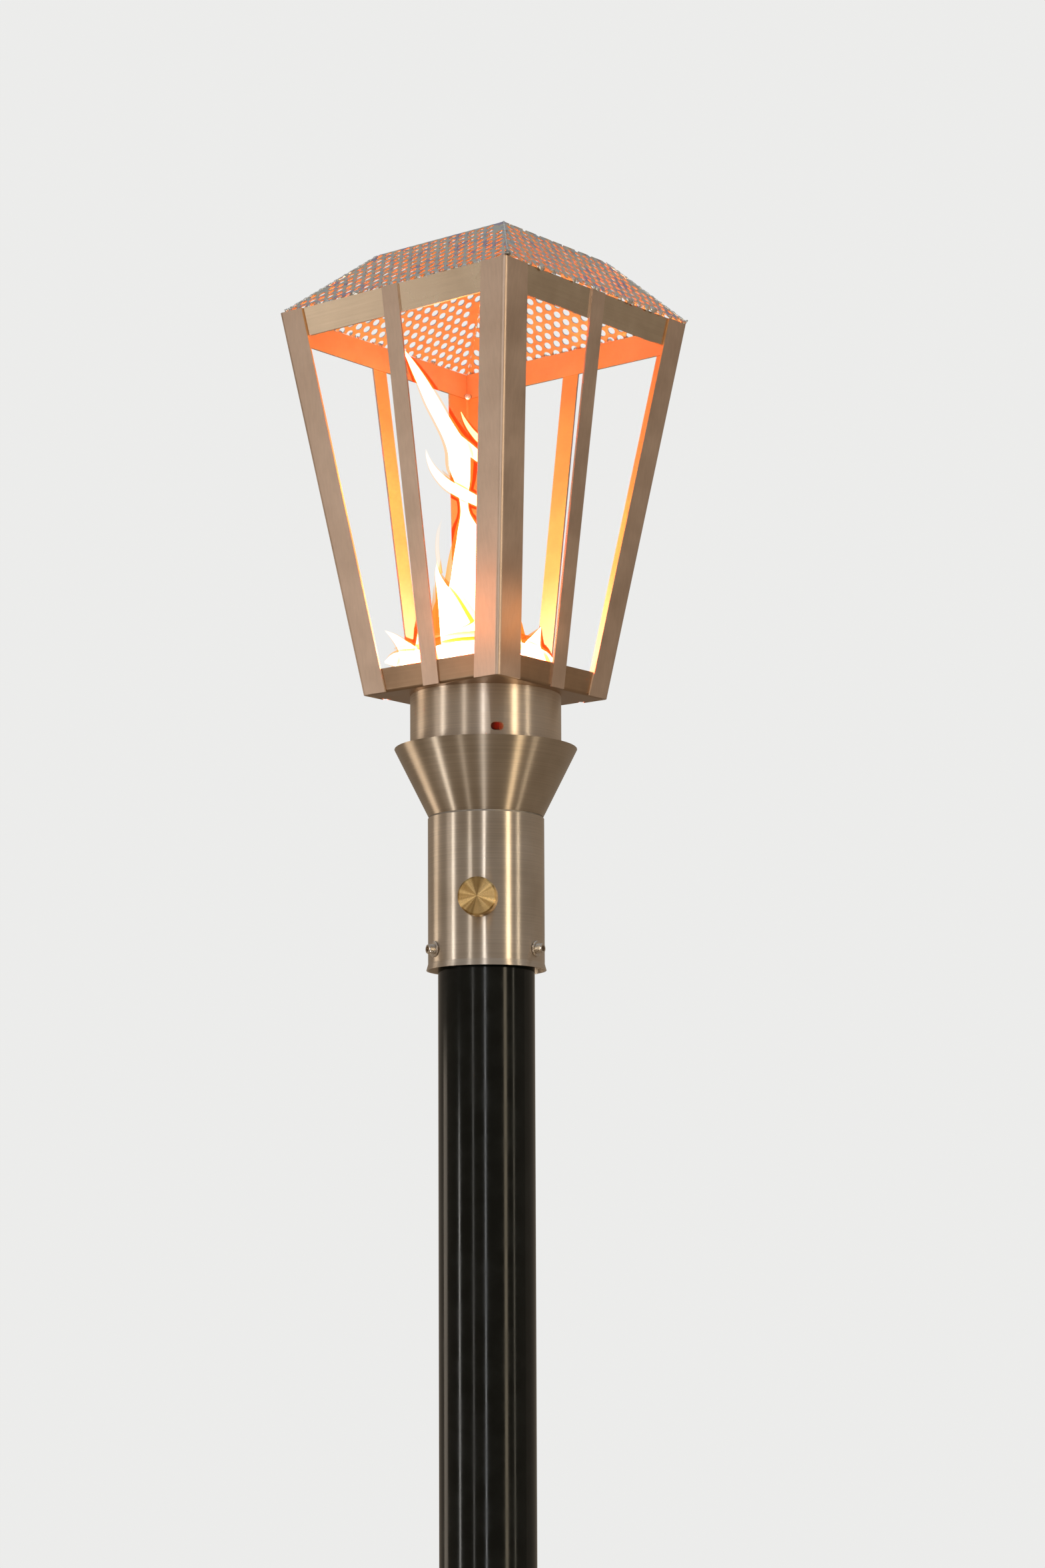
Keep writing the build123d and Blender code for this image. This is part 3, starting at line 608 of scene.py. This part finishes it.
def makeTongue(name, rows, share, material, sections=64, around=24):
    # an ellipse carried along the tongue's middle line, square to it
    rows = smoothRows(rows, sections) / 1000
    side, level, behind = rows[:, 0], rows[:, 1], rows[:, 2]
    wide, deep = np.maximum(share * rows[:, 3], 0.0002), np.maximum(share * rows[:, 4], 0.0002)
    alongSide, alongLevel = np.gradient(side), np.gradient(level)
    length = np.hypot(alongSide, alongLevel)
    turn = np.linspace(0, 2 * np.pi, around, endpoint=False)
    across = np.cos(turn)[None, :] * wide[:, None]
    s = side[:, None] + across * (alongLevel / length)[:, None]
    z = level[:, None] - across * (alongSide / length)[:, None]
    d = behind[:, None] + np.sin(turn)[None, :] * deep[:, None]
    angle = math.radians(cameraLook["azimuth"])
    x = s * math.cos(angle) - d * math.sin(angle)
    y = s * math.sin(angle) + d * math.cos(angle)
    faces = gridFaces(sections, around, closeV=True, capLow=True, capHigh=True)
    piece = meshPiece(name, gridPoints(x, y, z), faces)
    piece.data.materials.append(material)
    piece.visible_diffuse = False
    piece.visible_shadow = False


def glowing(name, colour, glow):
    # a material with an emission node, not wired up yet
    material, tree, shader = newMaterial(name)
    tree.nodes.remove(shader)
    emission = addNode(tree, "ShaderNodeEmission")
    emission.inputs["Color"].default_value = (*colour, 1)
    emission.inputs["Strength"].default_value = glow
    return material, tree, emission


def gasMaterial(name, look):
    # hot gas: glows orange and filters what is behind it
    material, tree, emission = glowing(name, look["colour"], look["glow"])
    absorb = addNode(tree, "ShaderNodeVolumeAbsorption")
    absorb.inputs["Color"].default_value = (*look["absorb"], 1)
    absorb.inputs["Density"].default_value = look["density"]
    both = addNode(tree, "ShaderNodeAddShader")
    wire(tree, emission, "Emission", both, 0)
    wire(tree, absorb, "Volume", both, 1)
    wire(tree, both, "Shader", tree.nodes["Material Output"], "Volume")
    return material


def coreMaterial(name, colour, glow):
    material, tree, emission = glowing(name, colour, glow)
    wire(tree, emission, "Emission", tree.nodes["Material Output"], "Volume")
    return material


flameLamps = [  # right, level, behind in millimetres, radius, power, colour
    (-5, 2100, 0, 0.026, 0.62, (1.0, 0.76, 0.54)),
    (-8, 2170, 0, 0.018, 0.22, (1.0, 0.54, 0.22)),
    (-25, 2250, 0, 0.012, 0.40, (1.0, 0.47, 0.14)),
]
glowLamps = [  # the flame's spill on the near corner's outer faces, in the same order
    (-145, 2092, -132, 0.02, 0.085, (1.0, 0.28, 0.04)),
    (135, 2092, -78, 0.02, 0.032, (1.0, 0.40, 0.10)),
]


def makeLamps(title, lamps, onto=None):
    # point lamps; a list of nodes limits what they light
    angle = cameraLook["azimuth"]
    lit = None
    if onto:
        lit = bpy.data.collections.new(title + "Lit")
        for node in onto:
            lit.objects.link(frame["nodes"][node])
    for index, (side, level, behind, radius, power, colour) in enumerate(lamps):
        data = bpy.data.lights.new(f"{title}{index}", "POINT")
        data.energy = power
        data.color = colour
        data.shadow_soft_size = radius
        lamp = bpy.data.objects.new(f"{title}{index}", data)
        x, y = turnXY(side / 1000, behind / 1000, angle)
        lamp.location = (x, y, level / 1000)
        lamp.visible_camera = False
        if lit:
            lamp.light_linking.receiver_collection = lit
        bpy.context.scene.collection.objects.link(lamp)


veil = gasMaterial("flameVeil", flameVeil)
sheath = gasMaterial("flameSheath", flameSheath)
for name, look in tongues.items():
    makeTongue(name + "Veil", look["rows"], flameVeil["share"], veil)
    makeTongue(name, look["rows"], flameSheath["share"], sheath)
    core = coreMaterial(name + "Core", flameCore["colour"], look["glow"])
    makeTongue(name + "Core", look["rows"], flameCore["share"], core)
makeLamps("flameLamp", flameLamps)
spillNodes = [name for name in frame["nodes"] if name.startswith(("corner_post", "face_bar", "floor_tray"))]
makeLamps("glowLamp", glowLamps, spillNodes)
print("flame made")


# studio: pale floor that fades into a plain pale backdrop, a dim warm room for reflections, upright softboxes
studio = {"floorRadius": 14.0, "floorFade": (4.0, 12.0), "floorTint": (0.80, 0.79, 0.77),
          "floorRings": 24, "floorSpokes": 72, "floorSun": 2.6, "floorSoftness": 35,
          "sunTilt": 28, "sunTurn": -30,
          "backdrop": (0.84, 0.84, 0.83), "room": (0.30, 0.25, 0.20), "roomLow": (0.24, 0.19, 0.14),
          "roomHigh": (0.40, 0.44, 0.48)}
softboxes = [  # azimuth from the camera, distance, width, height, middle height, power, colour
    (-116, 3.0, 0.80, 1.6, 1.2, 8, (1.0, 0.86, 0.70)),
    (-68, 3.0, 0.12, 1.5, 1.15, 10, (1.0, 0.98, 0.94)),
    (-32, 3.2, 0.08, 2.6, 1.9, 5, (1.0, 0.97, 0.92)),
    (-3, 3.4, 0.11, 2.6, 1.9, 12, (0.97, 0.98, 1.0)),
    (45, 3.0, 0.36, 2.8, 1.9, 18, (1.0, 0.84, 0.60)),
    (67, 3.0, 0.08, 2.8, 1.9, 5, (1.0, 0.90, 0.72)),
    (-80, 3.0, 0.40, 1.3, 3.0, 2.2, (1.0, 0.93, 0.86)),
]


def makeFloor(look):
    # a disc of rings, its paint fading out towards the rim
    out = np.linspace(0.02, 1.0, look["floorRings"]) * look["floorRadius"]
    around = np.linspace(0, 2 * np.pi, look["floorSpokes"], endpoint=False)
    rings, paintedFanNoise = np.meshgrid(out, around, indexing="ij")
    points = gridPoints(rings * np.cos(paintedFanNoise), rings * np.sin(paintedFanNoise), np.zeros_like(rings))
    floor = meshPiece("floor", points, gridFaces(*rings.shape, closeV=True, capLow=True))
    material, tree, shader = newMaterial("floorPaint")
    grain = noiseOn(tree, objectPlace(tree), 3.0, 4.0)
    low = tuple(0.96 * part for part in look["floorTint"])
    tint = rampOn(tree, grain, "Fac", [(0.3, low), (0.7, look["floorTint"])])
    wire(tree, tint, "Color", shader, "Base Color")
    shader.inputs["Roughness"].default_value = 0.8
    place = addNode(tree, "ShaderNodeTexCoord")
    reach = addNode(tree, "ShaderNodeVectorMath", operation="LENGTH")
    wire(tree, place, "Object", reach, 0)
    fade = addNode(tree, "ShaderNodeMapRange", interpolation_type="SMOOTHSTEP")
    fade.inputs["From Min"].default_value = look["floorFade"][0]
    fade.inputs["From Max"].default_value = look["floorFade"][1]
    fade.inputs["To Min"].default_value = 1.0
    fade.inputs["To Max"].default_value = 0.0
    wire(tree, reach, "Value", fade, "Value")
    wire(tree, fade, "Result", shader, "Alpha")
    floor.data.materials.append(material)
    floor.visible_glossy = False
    onFloor = bpy.data.collections.new("floorLit")
    onFloor.objects.link(floor)
    data = bpy.data.lights.new("floorSun", "SUN")
    data.energy = look["floorSun"]
    data.angle = math.radians(look["floorSoftness"])
    sun = bpy.data.objects.new("floorSun", data)
    sun.rotation_euler = (math.radians(look["sunTilt"]), 0,
                          math.radians(cameraLook["azimuth"] + look["sunTurn"]))
    sun.light_linking.receiver_collection = onFloor
    bpy.context.scene.collection.objects.link(sun)


def makeSky(look):
    # a plain backdrop straight behind, and a dimmer warm room in what the metal mirrors
    world = bpy.data.worlds.new("sky")
    bpy.context.scene.world = world
    world.use_nodes = True
    tree = world.node_tree
    background = tree.nodes["Background"]
    place = addNode(tree, "ShaderNodeTexCoord")
    parts = addNode(tree, "ShaderNodeSeparateXYZ")
    wire(tree, place, "Generated", parts, "Vector")
    rise = rangeOn(tree, parts, "Z", 0, 1, -0.6, 0.9)
    room = rampOn(tree, rise, "Result", [(0.0, look["roomLow"]), (0.6, look["room"]),
                                         (1.0, look["roomHigh"])])
    path = addNode(tree, "ShaderNodeLightPath")
    seen = blended(tree, path.outputs["Is Camera Ray"], room.outputs["Color"], look["backdrop"])
    tree.links.new(seen, background.inputs["Color"])


def makeSoftboxes(boxes):
    torch = bpy.data.collections.new("torchLit")  # the boxes light the torch and not the floor
    for node in [*frame["nodes"].values(), bpy.data.objects["roofWeldBeads"]]:
        torch.objects.link(node)
    for index, (azimuth, distance, width, height, middle, power, colour) in enumerate(boxes):
        data = bpy.data.lights.new(f"softbox{index}", "AREA")
        data.shape = "RECTANGLE"
        data.size = width
        data.size_y = height
        data.energy = power
        data.color = colour
        lamp = bpy.data.objects.new(f"softbox{index}", data)
        around = cameraLook["azimuth"] + azimuth
        x, y = turnXY(0, -distance, around)
        lamp.location = (x, y, middle)
        lamp.rotation_euler = (math.radians(90), 0, math.radians(around))
        lamp.visible_camera = False
        lamp.light_linking.receiver_collection = torch
        bpy.context.scene.collection.objects.link(lamp)


makeFloor(studio)
makeSky(studio)
makeSoftboxes(softboxes)
bpy.context.scene.view_settings.view_transform = "Standard"
print("studio made")
